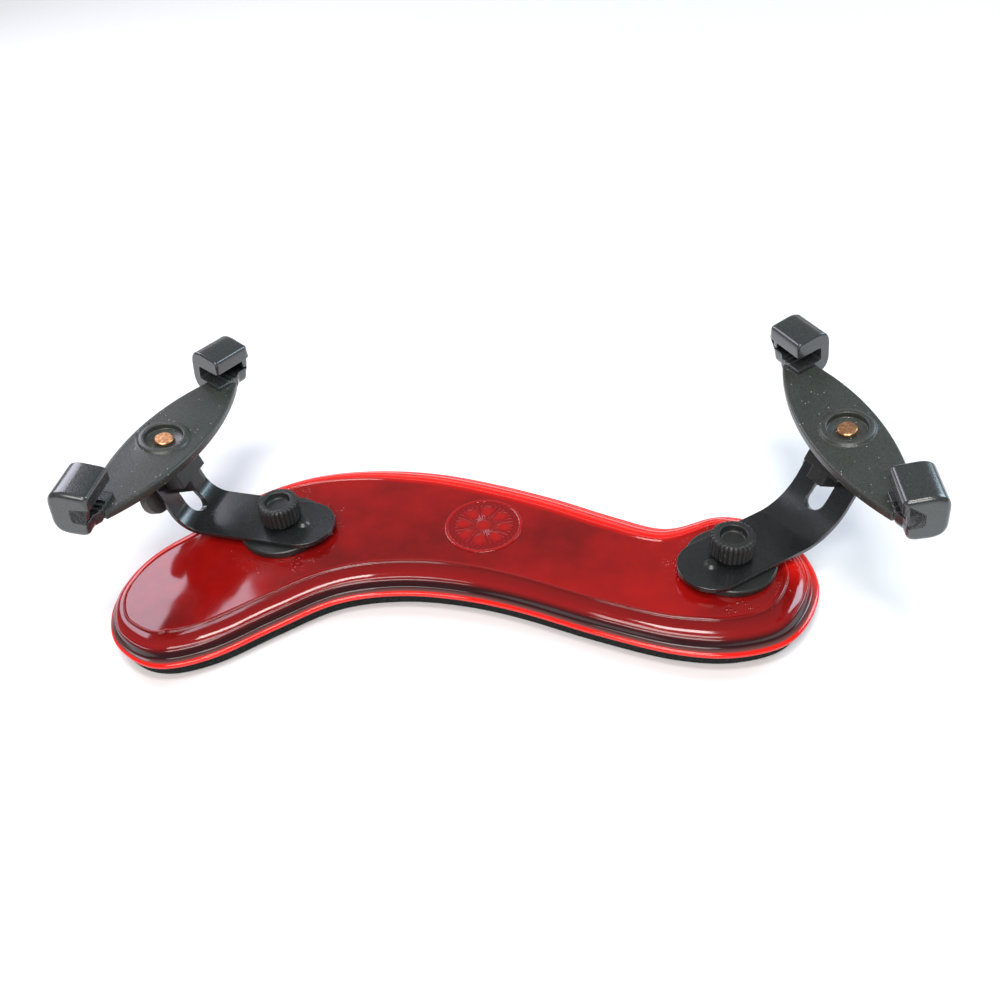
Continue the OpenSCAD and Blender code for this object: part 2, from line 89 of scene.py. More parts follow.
# six times the signed volume of the quads and caps, by the divergence theorem on fans from the origin
def signedVolume(points, quads, caps):
    a, b, c, d = (points[quads[:, k]] for k in range(4))
    total = np.einsum("ij,ij->i", a, np.cross(b, c)).sum() + np.einsum("ij,ij->i", a, np.cross(c, d)).sum()
    for cap in caps:
        ring = points[cap]
        total += np.einsum("ij,ij->i", np.broadcast_to(ring[0], ring[1:-1].shape),
                           np.cross(ring[1:-1], ring[2:])).sum()
    return total


# grid holds rows of closed rings; with rowsClose the last row joins the first, otherwise each end is capped
def makePiece(name, grid, material, rowsClose=False, marks=None):
    rows, cols = grid.shape[:2]
    points = grid.reshape(-1, 3)
    quads = gridQuads(rows, cols, rowsClose)
    ring = np.arange(cols)
    caps = [] if rowsClose else [ring[::-1], (rows - 1) * cols + ring]
    if signedVolume(points, quads, caps) < 0:
        quads = quads[:, ::-1]
        caps = [c[::-1] for c in caps]
    mesh = bpy.data.meshes.new(name)
    mesh.from_pydata(points.tolist(), [], quads.tolist() + [c.tolist() for c in caps])
    mesh.polygons.foreach_set("use_smooth", np.arange(len(mesh.polygons)) < len(quads))
    for label, values in (marks or {}).items():
        mark = mesh.attributes.new(label, "FLOAT", "POINT")
        mark.data.foreach_set("value", np.broadcast_to(values, (rows, cols)).astype(np.float32).ravel())
    mesh.update()
    piece = bpy.data.objects.new(name, mesh)
    bpy.context.scene.collection.objects.link(piece)
    mesh.materials.append(material)
    return piece


# smooth line through the knots: Catmull-Rom spans, each a cubic in the share t of the span
def smoothLine(knots, steps):
    p = np.asarray(knots, float)
    p = np.vstack([2 * p[0] - p[1], p, 2 * p[-1] - p[-2]])
    a, b, c, d = p[:-3], p[1:-2], p[2:-1], p[3:]
    t = (np.arange(steps) / steps)[None, :, None]
    a, b, c, d = (q[:, None, :] for q in (a, b, c, d))
    line = 0.5 * (2 * b + (c - a) * t + (2 * a - 5 * b + 4 * c - d) * t ** 2
                  + (3 * b - a - 3 * c + d) * t ** 3)
    return np.vstack([line.reshape(-1, p.shape[1]), p[-2]])


# 3t^2 - 2t^3 with t held between 0 and 1
def smoothStep(t):
    t = np.clip(t, 0, 1)
    return t * t * (3 - 2 * t)


# ring of points at radius r and height z about an upright axis, r and z given down the rows
def turned(profile, cols, centre=(0, 0), ripple=None):
    r, z = np.asarray(profile, float).T
    angle = np.arange(cols) / cols * tau
    radius = r[:, None] + (0 * angle if ripple is None else ripple(angle, r[:, None], z[:, None]))
    return np.stack([centre[0] + radius * np.cos(angle), centre[1] + radius * np.sin(angle),
                     np.broadcast_to(z[:, None], radius.shape)], -1)


# empty node group with its sockets; inputs are (label, kind, value) and outputs (label, kind)
def makeGroup(name, inputs, outputs):
    tree = bpy.data.node_groups.new(name, "ShaderNodeTree")
    for label, kind, value in inputs:
        socket = tree.interface.new_socket(label, in_out="INPUT", socket_type="NodeSocket" + kind)
        if value is not None:
            socket.default_value = value
    for label, kind in outputs:
        tree.interface.new_socket(label, in_out="OUTPUT", socket_type="NodeSocket" + kind)
    return tree, tree.nodes.new("NodeGroupInput").outputs, tree.nodes.new("NodeGroupOutput").inputs


# a socket is linked to the target and a colour or a number is set on it
def feed(tree, target, value):
    if isinstance(value, bpy.types.NodeSocket):
        tree.links.new(value, target)
    else:
        target.default_value = (*value, 1) if isinstance(value, tuple) else value


# new node with its settings, and feeds for its inputs
def put(tree, kind, feeds=None, **settings):
    made = tree.nodes.new("ShaderNode" + kind)
    for key, value in settings.items():
        setattr(made, key, value)
    for key, value in (feeds or {}).items():
        feed(tree, made.inputs[key], value)
    return made


# colour ramp through the stops, each a place from 0 to 1 and a colour
def rampOf(tree, factor, stops):
    made = put(tree, "ValToRGB", {"Fac": factor})
    while len(made.color_ramp.elements) < len(stops):
        made.color_ramp.elements.new(0.5)
    for element, (place, colour) in zip(made.color_ramp.elements, stops):
        element.position = place
        element.color = (*colour, 1)
    return made.outputs["Color"]


# (value - low) / (high - low), held between 0 and 1
def span(tree, value, low, high):
    return put(tree, "MapRange", {"Value": value, "From Min": low, "From Max": high}).outputs["Result"]


# cloudy change of roughness and a soft mask of handling marks
def buildSmudge():
    tree, take, give = makeGroup("smudge", [("Vector", "Vector", None), ("Scale", "Float", 60.0),
                                            ("Low", "Float", 0.2), ("High", "Float", 0.4)],
                                 [("Roughness", "Float"), ("Mask", "Float")])
    cloud = put(tree, "TexNoise", {"Vector": take["Vector"], "Scale": take["Scale"], "Detail": 4.0})
    made = put(tree, "MapRange", {"Value": cloud.outputs["Fac"], "From Min": 0.3, "From Max": 0.7,
                                  "To Min": take["Low"], "To Max": take["High"]})
    tree.links.new(made.outputs["Result"], give["Roughness"])
    tree.links.new(span(tree, cloud.outputs["Fac"], 0.42, 0.62), give["Mask"])
    return tree


# fine moulded or sprayed grain as a height, and sparse pale specks as a mask
def buildGrain():
    tree, take, give = makeGroup("fineGrain", [("Vector", "Vector", None), ("Scale", "Float", 2500.0),
                                               ("Speck Scale", "Float", 900.0), ("Speck Size", "Float", 0.12)],
                                 [("Height", "Float"), ("Specks", "Float"), ("Tone", "Float")])
    grain = put(tree, "TexNoise", {"Vector": take["Vector"], "Scale": take["Scale"], "Detail": 2.0})
    cells = put(tree, "TexVoronoi", {"Vector": take["Vector"], "Scale": take["Speck Scale"]})
    near = put(tree, "Math", {0: cells.outputs["Distance"], 1: take["Speck Size"]}, operation="LESS_THAN")
    rare = put(tree, "Math", {0: put(tree, "SeparateColor", {"Color": cells.outputs["Color"]}).outputs[0],
                              1: 0.86}, operation="GREATER_THAN")
    both = put(tree, "Math", {0: near.outputs[0], 1: rare.outputs[0]}, operation="MULTIPLY")
    tree.links.new(grain.outputs["Fac"], give["Height"])
    tree.links.new(both.outputs[0], give["Specks"])
    tree.links.new(span(tree, grain.outputs["Fac"], 0.35, 0.65), give["Tone"])
    return tree


# ring of small blisters round an upright axis, between two radii
def buildBlisters():
    tree, take, give = makeGroup("blisters", [("Vector", "Vector", None), ("Centre X", "Float", 0.0),
                                              ("Centre Y", "Float", 0.0), ("Inner", "Float", 0.013),
                                              ("Outer", "Float", 0.018), ("Scale", "Float", 900.0)],
                                 [("Height", "Float"), ("Mask", "Float")])
    place = put(tree, "SeparateXYZ", {"Vector": take["Vector"]}).outputs
    dx = put(tree, "Math", {0: place[0], 1: take["Centre X"]}, operation="SUBTRACT").outputs[0]
    dy = put(tree, "Math", {0: place[1], 1: take["Centre Y"]}, operation="SUBTRACT").outputs[0]
    flatVector = put(tree, "CombineXYZ", {"X": dx, "Y": dy})
    reach = put(tree, "VectorMath", {0: flatVector.outputs[0]}, operation="LENGTH").outputs["Value"]
    fade = put(tree, "MapRange", {"Value": reach, "From Min": take["Outer"], "From Max": take["Inner"]})
    cells = put(tree, "TexVoronoi", {"Vector": take["Vector"], "Scale": take["Scale"]})
    dots = span(tree, cells.outputs["Distance"], 0.32, 0.05)
    patchy = put(tree, "TexNoise", {"Vector": take["Vector"], "Scale": 160.0})
    patch = span(tree, patchy.outputs["Fac"], 0.47, 0.60)
    ring = put(tree, "Math", {0: fade.outputs["Result"], 1: patch}, operation="MULTIPLY").outputs[0]
    made = put(tree, "Math", {0: dots, 1: ring}, operation="MULTIPLY").outputs[0]
    tree.links.new(made, give["Height"])
    tree.links.new(ring, give["Mask"])
    return tree


# slow waves of a moulded sheet, as a height
def buildSinkWaves():
    tree, take, give = makeGroup("sinkWaves", [("Vector", "Vector", None), ("Scale", "Float", 35.0)],
                                 [("Height", "Float")])
    wave = put(tree, "TexNoise", {"Vector": take["Vector"], "Scale": take["Scale"], "Detail": 1.0})
    tree.links.new(wave.outputs["Fac"], give["Height"])
    return tree


smudge, fineGrain, blisters, sinkWaves = buildSmudge(), buildGrain(), buildBlisters(), buildSinkWaves()


# a shader group set into a tree
def placed(tree, group, feeds):
    return put(tree, "Group", feeds, node_tree=group).outputs


# material whose uniform values are set on its shader, with its Object coordinates
def newMaterial(name, **shader):
    material = bpy.data.materials.new(name)
    material.use_nodes = True
    tree = material.node_tree
    surface = tree.nodes["Principled BSDF"]
    for key, value in shader.items():
        feed(tree, surface.inputs[key.replace("_", " ")], value)
    where = put(tree, "TexCoord").outputs["Object"]
    return material, tree, surface.inputs, where


# first * (1 - factor) + second * factor, for colours
def mixed(tree, factor, first, second):
    made = put(tree, "Mix", data_type="RGBA")
    for key, value in (("Factor", factor), ("A", first), ("B", second)):
        feed(tree, [s for s in made.inputs if s.name == key and s.enabled][0], value)
    return [s for s in made.outputs if s.enabled][0]


# normal tilted by a height, its depth in metres, over any earlier tilt
def bumped(tree, height, depth, normal=None):
    made = put(tree, "Bump", {"Height": height, "Distance": depth, "Strength": 1.0})
    if normal is not None:
        tree.links.new(normal, made.inputs["Normal"])
    return made.outputs["Normal"]


# the steep side's tone is painted shade, the lower edge's bright tone a painted glow, and the badge's two
# tones painted light on its raised parts and painted shade on its low ones
redLook = dict(
    flatDark=(0.15, 0.004, 0.004), flatBright=(0.34, 0.006, 0.005), edgePaintedGlow=(0.80, 0.010, 0.005),
    rollRed=(0.26, 0.006, 0.006), steepPaintedShade=(0.030, 0.004, 0.005), seamBrown=(0.16, 0.060, 0.055),
    badgeLowPaintedShade=(0.20, 0.005, 0.006), badgeRaisedPaintedLight=(0.36, 0.008, 0.007),
    rough=(0.05, 0.13), waveDeep=0.0006, blisterDeep=0.0004, blisterIn=0.0145, blisterOut=0.021,
)


# tone across the rim by the band, from 0 on the flat to 1 under the edge: painted shade on the steep side and
# a painted glow on the lower edge, made full by the lit copy where light would come through
def rimTone(tree):
    flatDark, flatBright, edgePaintedGlow, steepPaintedShade = (
        redLook[k] for k in ("flatDark", "flatBright", "edgePaintedGlow", "steepPaintedShade"))
    band = put(tree, "Attribute", attribute_name="band").outputs["Fac"]
    glow = put(tree, "Attribute", attribute_name="glow").outputs["Fac"]
    # painted shade darkens the steep side (0.46 to 0.62); a painted glow brightens the lower edge (0.74 to
    # 0.90)
    shaded = rampOf(tree, band, [
        (0.0, flatBright), (0.10, flatDark), (0.30, redLook["rollRed"]), (0.40, flatDark),
        (0.46, steepPaintedShade), (0.62, steepPaintedShade), (0.68, redLook["seamBrown"]),
        (0.74, edgePaintedGlow), (0.90, edgePaintedGlow), (1.0, flatDark)])
    # lit copy of the rim: painted glow over most of the band, used where the edge faces the back or an end
    lit = rampOf(tree, band, [(0.0, flatBright), (0.14, edgePaintedGlow), (1.0, edgePaintedGlow)])
    return band, mixed(tree, glow, shaded, lit)


# clear red plastic: clouds over the flat and the rim's tone past it, with painted shade and a painted glow on
# the rim, or the badge's tone by its relief, with painted light on the raised parts and painted shade on the
# low ones
def redPlastic(name, hasBand):
    material, tree, surface, where = newMaterial(name, Specular_IOR_Level=0.5, IOR=1.5)
    if hasBand:
        cloud = put(tree, "TexNoise", {"Vector": where, "Scale": 28.0, "Detail": 5.0, "Roughness": 0.6})
        flat = mixed(tree, span(tree, cloud.outputs["Fac"], 0.35, 0.68),
                     redLook["flatDark"], redLook["flatBright"])
        band, rim = rimTone(tree)
        base = mixed(tree, span(tree, band, 0.0, 0.04), flat, rim)
    else:
        relief = put(tree, "Attribute", attribute_name="relief").outputs["Fac"]
        # painted light on the raised relief, painted shade on the low parts
        base = mixed(tree, relief, redLook["badgeLowPaintedShade"], redLook["badgeRaisedPaintedLight"])
    tree.links.new(base, surface["Base Color"])
    low, high = redLook["rough"]
    marks = placed(tree, smudge, {"Vector": where, "Scale": 90.0, "Low": low, "High": high})
    tree.links.new(marks["Roughness"], surface["Roughness"])
    waves = placed(tree, sinkWaves, {"Vector": where, "Scale": 45.0})
    normal = bumped(tree, waves["Height"], redLook["waveDeep"])
    for side in ("left", "right"):
        low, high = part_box(side + "_thumb_screw")
        dots = placed(tree, blisters, {
            "Vector": where, "Centre X": (low.x + high.x) / 2, "Centre Y": (low.y + high.y) / 2,
            "Inner": redLook["blisterIn"], "Outer": redLook["blisterOut"], "Scale": 800.0})
        normal = bumped(tree, dots["Height"], redLook["blisterDeep"], normal)
    tree.links.new(normal, surface["Normal"])
    return material


# open foam: black cells with paler walls
def foamBlack():
    material, tree, surface, where = newMaterial("foamBlack", Roughness=0.9, Specular_IOR_Level=0.25)
    cells = put(tree, "TexVoronoi", {"Vector": where, "Scale": 1500.0})
    tone = rampOf(tree, cells.outputs["Distance"], [
        (0.0, (0.004, 0.004, 0.004)), (0.6, (0.016, 0.018, 0.017)), (1.0, (0.024, 0.027, 0.026))])
    tree.links.new(tone, surface["Base Color"])
    tree.links.new(bumped(tree, cells.outputs["Distance"], 0.0003), surface["Normal"])
    return material


# tone and pale are the grain's two colours, rough its range, grain its depth in metres
finishes = dict(
    stripBlack=dict(tone=(0.010, 0.011, 0.012), pale=(0.016, 0.018, 0.018), rough=(0.20, 0.32),
                    grain=0.00002, speck=0.03, coat=0.6),
    discBlack=dict(tone=(0.012, 0.013, 0.012), pale=(0.022, 0.024, 0.022), rough=(0.34, 0.46),
                   grain=0.00003, speck=0.05, coat=0.3),
    knobBlack=dict(tone=(0.010, 0.011, 0.010), pale=(0.022, 0.023, 0.021), rough=(0.38, 0.52),
                   grain=0.00006, speck=0.10, coat=0.1),
    forkGrey=dict(tone=(0.024, 0.027, 0.023), pale=(0.046, 0.050, 0.043), rough=(0.36, 0.50),
                  grain=0.00006, speck=0.14, coat=0.15),
    clampGrey=dict(tone=(0.060, 0.056, 0.050), pale=(0.10, 0.094, 0.086), rough=(0.40, 0.55),
                   grain=0.00006, speck=0.10, coat=0.1),
    bootRubber=dict(tone=(0.024, 0.027, 0.027), pale=(0.040, 0.043, 0.042), rough=(0.20, 0.32),
                    grain=0.00003, speck=0.06, coat=0.6),
)


# dark finish over metal, plastic or rubber: smudged roughness, fine grain, rare pale specks
def darkFinish(name):
    look = finishes[name]
    low, high = look["rough"]
    material, tree, surface, where = newMaterial(name, Coat_Weight=look["coat"], Coat_Roughness=0.12)
    marks = placed(tree, smudge, {"Vector": where, "Scale": 110.0, "Low": low, "High": high})
    grain = placed(tree, fineGrain, {"Vector": where, "Scale": 2200.0, "Speck Scale": 1100.0,
                                     "Speck Size": look["speck"]})
    base = mixed(tree, grain["Tone"], look["tone"], look["pale"])
    base = mixed(tree, grain["Specks"], base, (0.55, 0.56, 0.54))
    tree.links.new(base, surface["Base Color"])
    tree.links.new(marks["Roughness"], surface["Roughness"])
    tree.links.new(bumped(tree, grain["Height"], look["grain"]), surface["Normal"])
    return material


# brass: two warm tones by a fine noise, slightly scratched
def turnedBrass():
    material, tree, surface, where = newMaterial("turnedBrass", Metallic=1.0)
    rings = put(tree, "TexNoise", {"Vector": where, "Scale": 1400.0, "Detail": 3.0})
    tone = mixed(tree, span(tree, rings.outputs["Fac"], 0.35, 0.65), (0.62, 0.27, 0.11), (0.88, 0.50, 0.27))
    tree.links.new(tone, surface["Base Color"])
    marks = placed(tree, smudge, {"Vector": where, "Scale": 600.0, "Low": 0.28, "High": 0.42})
    tree.links.new(marks["Roughness"], surface["Roughness"])
    tree.links.new(bumped(tree, rings.outputs["Fac"], 0.00008), surface["Normal"])
    return material


plateRed = redPlastic("plateRed", True)
badgeRed = redPlastic("badgeRed", False)
padBlack = foamBlack()
stripBlack, discBlack, knobBlack, forkGrey, clampGrey, bootRubber = (darkFinish(name) for name in finishes)
pinBrass = turnedBrass()
print("materials made")


plate = dict(
    around=720,          # points round the outline
    waves=64,            # detail kept in the smoothed outline
    pinch=0.5,           # share by which the rim narrows at the left end
    steps=4,             # rows between two knots of the edge section
    glowFrom=0.35,       # facing at which the painted glow starts and, on the other side, is full
    holeSpare=2.0,       # length by which the hole's cutter passes the insert's ends, in mm
    # band at the numbered knots of the section below: 0 on the flat, 1 from the lower edge inwards
    bandKnots=[1, 2, 7, 12, 15, 17, 20, 22, 23, 28, 29],
    band=[0, 0.02, 0.10, 0.32, 0.40, 0.46, 0.62, 0.68, 0.74, 0.90, 1],
    # edge section from the flat to the underside: distance in from the outline, height over the flat
    section=[(14.0, 0), (11.5, 0), (10.7, 0), (10.5, 0.05), (10.2, 0.32), (9.8, 0.44), (9.4, 0.32),
             (9.1, 0.02), (8.6, -0.03), (7.4, -0.12), (6.2, -0.36), (5.2, -0.75), (4.45, -1.18),
             (4.15, -1.40), (3.95, -1.42), (3.7, -1.46), (3.35, -1.72), (3.05, -2.2), (2.8, -2.7),
             (2.55, -3.2), (2.3, -3.5), (1.9, -3.64), (1.2, -3.74), (0.6, -3.88), (0.2, -4.12),
             (0.02, -4.45), (0.03, -5.0), (0.25, -5.36), (0.7, -5.4), (2.2, -5.4), (3.0, -5.38),
             (3.4, -5.1), (3.8, -4.2), (4.4, -3.1), (5.4, -2.58), (6.6, -2.5), (10, -2.5), (14.0, -2.5)],
)


# the outline's corners in order: each next one is the nearest that is left
def chained(points):
    order, left = [0], list(range(1, len(points)))
    while left:
        gaps = np.linalg.norm(points[left] - points[order[-1]], axis=1)
        order.append(left.pop(int(gaps.argmin())))
    return points[order]


# even points round a closed line, with all Fourier terms above the given number of waves dropped
def smoothLoop(points, count, waves):
    closed = np.vstack([points, points[:1]])
    length = np.r_[0, np.cumsum(np.linalg.norm(np.diff(closed, axis=0), axis=1))]
    even = np.linspace(0, length[-1], count, endpoint=False)
    loop = np.interp(even, length, closed[:, 0]) + 1j * np.interp(even, length, closed[:, 1])
    terms = np.fft.fft(loop)
    terms[waves:-waves] = 0
    loop = np.fft.ifft(terms)
    if np.sum((np.roll(loop, -1) * loop.conj()).imag) < 0:
        loop = loop[::-1]
    return np.stack([loop.real, loop.imag], -1)


# unit direction along a closed line at each of its points: from the point before to the point after
def directions(loop):
    along = np.roll(loop, -1, 0) - np.roll(loop, 1, 0)
    return along / np.linalg.norm(along, axis=1)[:, None]


# outline moved inwards: p + d * (1 - pinch * max(0, -ty)) * n, with t the direction along it and n square to t
def insetLoop(loop, distance, pinch):
    along = directions(loop)
    inward = np.stack([-along[:, 1], along[:, 0]], -1)
    share = 1 - pinch * np.maximum(0, -along[:, 1])
    return loop[None] + distance[:, None, None] * (share[:, None] * inward)[None]


# the CAD plate's widest ring, put in order and smoothed
def plateOutline():
    points = nodePoints("base_plate")
    heights = np.round(points[:, 2] / mm, 3)
    level = np.unique(heights)[1]                       # the widest ring is the second from below
    ring = np.unique(np.round(points[heights == level, :2], 6), axis=0)
    return smoothLoop(chained(ring), plate["around"], plate["waves"])


outline = plateOutline()
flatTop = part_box("badge")[0].z


# cutters taken out of the piece for good
def cutHoles(piece, cutters):
    for cutter in cutters:
        modifier = piece.modifiers.new("hole", "BOOLEAN")
        modifier.operation, modifier.solver, modifier.object = "DIFFERENCE", "EXACT", cutter
    shaped = bpy.data.meshes.new_from_object(piece.evaluated_get(bpy.context.evaluated_depsgraph_get()))
    piece.modifiers.clear()
    piece.data = shaped
    for cutter in cutters:
        bpy.data.objects.remove(cutter)


# section carried round the outline, both ends of it closed flat
def basePlate():
    knots = np.array(plate["section"]) * mm
    section = smoothLine(knots, plate["steps"])
    rings = insetLoop(outline, section[:, 0], plate["pinch"])
    heights = np.broadcast_to((flatTop + section[:, 1])[:, None, None], rings.shape[:2] + (1,))
    index = np.arange(len(section)) / plate["steps"]
    band = np.interp(index, plate["bandKnots"], plate["band"])
    # 1 where the edge faces the back or an end, where the rim gets its painted glow, as of light coming
    # through it
    glow = np.clip((plate["glowFrom"] - directions(outline)[:, 0]) / (2 * plate["glowFrom"]), 0, 1)
    piece = makePiece("plateShell", np.concatenate([rings, heights], -1), plateRed,
                      marks={"band": band[:, None], "glow": glow[None, :]})
    cutters = []
    for side in ("left", "right"):
        low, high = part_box(side + "_insert")
        centre, radius = (low + high) / 2, (high.x - low.x) / 2
        spare = plate["holeSpare"] * mm
        wall = [(radius, low.z - spare), (radius, high.z + spare)]
        cutters.append(makePiece("cutter_" + side, turned(wall, 96, centre[:2]), plateRed))
    cutHoles(piece, cutters)
    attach(piece, "base")
    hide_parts("base_plate")
    return piece


basePlate()
print("base plate made")


# insets from the plate's outline and radius of the lower edge, in mm
pad = dict(inset=2.0, corner=1.1, hollowInset=5.8, steps=5, ease=0.1)


# upright side with a rounded lower edge, stepped in where it fills the plate
def foamPad():
    low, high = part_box("foam_pad")
    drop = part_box("base_plate")[0].z - low.z
    turn = np.linspace(0, math.pi / 2, pad["steps"])
    corner = pad["corner"] * mm
    inset, hollow, ease = (pad[k] * mm for k in ("inset", "hollowInset", "ease"))
    rows = [(inset + 6 * mm, low.z), (inset + 3 * mm, low.z)]
    rows += [(inset + corner * (1 - math.sin(t)), low.z + corner * (1 - math.cos(t))) for t in turn]
    rows += [(inset, low.z + drop * s) for s in (0.5, 0.75, 0.97)]
    rows += [(inset + ease, low.z + drop), (hollow - ease, low.z + drop), (hollow, low.z + drop + ease),
             (hollow, high.z - ease), (hollow + ease, high.z), (hollow + 6 * mm, high.z)]
    section = np.array(rows)
    rings = insetLoop(outline, section[:, 0], plate["pinch"])
    heights = np.broadcast_to(section[:, 1][:, None, None], rings.shape[:2] + (1,))
    piece = makePiece("padFoam", np.concatenate([rings, heights], -1), padBlack)
    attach(piece, "base")
    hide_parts("foam_pad")


foamPad()
print("foam pad made")


# sizes in mm; the petals', boss's and beads' places and reaches are shares of the radius
badge = dict(around=240, rings=60, edgeRings=24, ring=1.2, face=0.22, relief=0.16, boss=0.20,
             petals=8, petalAt=0.52, petalReach=0.22, beads=36, beadAt=0.82, beadReach=0.05)


# height over the plate: a raised ring at the edge, a boss and a circle of petals, each a smooth hump
def badgeMedal():
    low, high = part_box("badge")
    centre, radius = (low + high) / 2, (high.x - low.x) / 2
    share = np.r_[np.linspace(0.004, 0.9, badge["rings"]), np.linspace(0.905, 1, badge["edgeRings"])][:, None]
    angle = (np.arange(badge["around"]) / badge["around"] * tau)[None, :]
    start = 1 - badge["ring"] * mm / radius
    edge = np.clip((share - start) / (1 - start), 0, 1)
    ring = np.sin(np.pi * edge) ** 0.7
    boss = np.clip(1 - (share / badge["boss"]) ** 2, 0, 1) ** 0.5
    fromPetal = (share - badge["petalAt"]) / badge["petalReach"]
    petal = np.clip(np.cos(badge["petals"] * angle / 2) ** 2 - fromPetal ** 2, 0, 1) ** 0.5
    fromBead = (share - badge["beadAt"]) / badge["beadReach"]
    beads = 0.5 * np.clip(np.cos(badge["beads"] * angle) * (1 - fromBead ** 2), 0, 1)
    relief = np.maximum(np.maximum(ring, boss), np.maximum(petal, beads))
    relief = smoothStep(relief)
    height = badge["face"] + badge["relief"] * relief
    height = height * np.clip((1 - share) / 0.01, 0, 1) ** 0.5
    shape = np.broadcast_to(share * radius, height.shape)
    top = np.stack([centre.x + shape * np.cos(angle), centre.y + shape * np.sin(angle),
                    low.z + height * mm], -1)
    under = top[-1:].copy()
    under[..., 2] = low.z - 0.02 * mm
    piece = makePiece("badgeMedal", np.concatenate([top, under]), badgeRed,
                      marks={"relief": np.concatenate([relief, relief[-1:]])})
    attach(piece, "base")
    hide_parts("badge")


badgeMedal()


thumb = dict(around=448, teeth=28, groove=0.62, crossPitch=1.1, headHigh=7.0, shank=3.0, dish=3.8,
             dishDeep=2.2, chamfer=0.7)


# turned head and shank; each groove follows the 1.5th power of the positive part of cos(teeth * angle)
def thumbScrew(side):
    low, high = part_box(side + "_thumb_screw")
    centre, big = (low + high) / 2, (high.x - low.x) / 2 / mm
    top, base = high.z / mm, high.z / mm - thumb["headHigh"]
    c, dish = thumb["chamfer"], thumb["dish"]
    floor = top - thumb["dishDeep"]
    profile = [(0.05, low.z / mm), (thumb["shank"] - 0.3, low.z / mm), (thumb["shank"], low.z / mm + 0.3),
               (thumb["shank"], base - 0.02), (thumb["shank"] + 0.1, base), (big - c - 0.3, base),
               (big - c, base + 0.08), (big - 0.25, base + c * 0.7), (big, base + c + 0.1)]
    profile += [(big, z) for z in np.linspace(base + c + 0.5, top - c - 0.5, 8)]
    profile += [(big, top - c - 0.1), (big - 0.2, top - c * 0.6), (big - c, top - 0.08), (big - c - 0.35, top),
                (dish + 0.35, top), (dish + 0.1, top - 0.1), (dish, top - 0.35), (dish - 0.1, floor + 0.4),
                (dish - 0.4, floor + 0.08), (dish - 0.8, floor), (1.6, floor), (0.05, floor - 0.05)]
    profile = np.array(profile) * mm

    # only the outer wall is cut, and cross cuts make each groove shallower and deeper by turns
    def knurl(angle, r, z):
        depth = np.clip(np.cos(thumb["teeth"] * angle), 0, 1)[None, :] ** 1.5 * thumb["groove"] * mm
        reach = np.clip((r / mm - big + c + 0.45) / 0.5, 0, 1)
        cross = 0.75 + 0.25 * np.cos(z / mm * tau / thumb["crossPitch"])
        return -depth * reach * cross

    piece = makePiece(side + "_thumbScrew", turned(profile, thumb["around"], centre[:2], knurl),
                      knobBlack)
    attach(piece, side + "_thumb")
    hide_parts(side + "_thumb_screw")


for side in ("left", "right"):
    thumbScrew(side)
print("badge and thumb screws made")


fork = dict(
    around=384, length=82.0, halfWidth=10.6, thick=3.2,
    pivotOut=1.0,        # the pivot lies this far outside the lens's middle line
    reach=34.0, edge=0.7,
    collarIn=5.7, collarOut=7.7, collarHigh=0.8, recess=1.0, hole=2.05,
)


# fork's own axes: z along its pivot, y along the plate, x outwards
def forkFrame(side):
    joint = joints[side + "_fork_turn"]
    origin, z = np.array(joint["pos_m"]), unit(np.array(joint["axis"]))
    points = np.unique(np.round(nodePoints(side + "_fork"), 6), axis=0)
    flat = points - points.mean(0)
    flat -= np.outer(flat @ z, z)
    y = np.linalg.svd(flat, full_matrices=False)[2][0]
    y = unit(y - (y @ z) * z)
    first = "near" if side == "left" else "far"
    if (nodePoints(side + "_" + first + "_foot").mean(0) - origin) @ y < 0:
        y = -y
    return origin, np.cross(y, z), y, z


# distance from the pivot to the edge of the lens moved in by d: the nearest of two arcs and two ends
def lensReach(angle, inset, halfWidth):
    half = fork["length"] / 2
    radius = (half ** 2 + halfWidth ** 2) / (2 * halfWidth)
    ux, uy = np.cos(angle), np.sin(angle)
    reach = (fork["reach"] - inset) / np.maximum(np.abs(uy), 1e-6)
    for sign in (-1, 1):
        cx = -fork["pivotOut"] + sign * (radius - halfWidth)
        along = ux * cx
        reach = np.minimum(reach, along + np.sqrt(along ** 2 - cx ** 2 + (radius - inset) ** 2))
    return reach


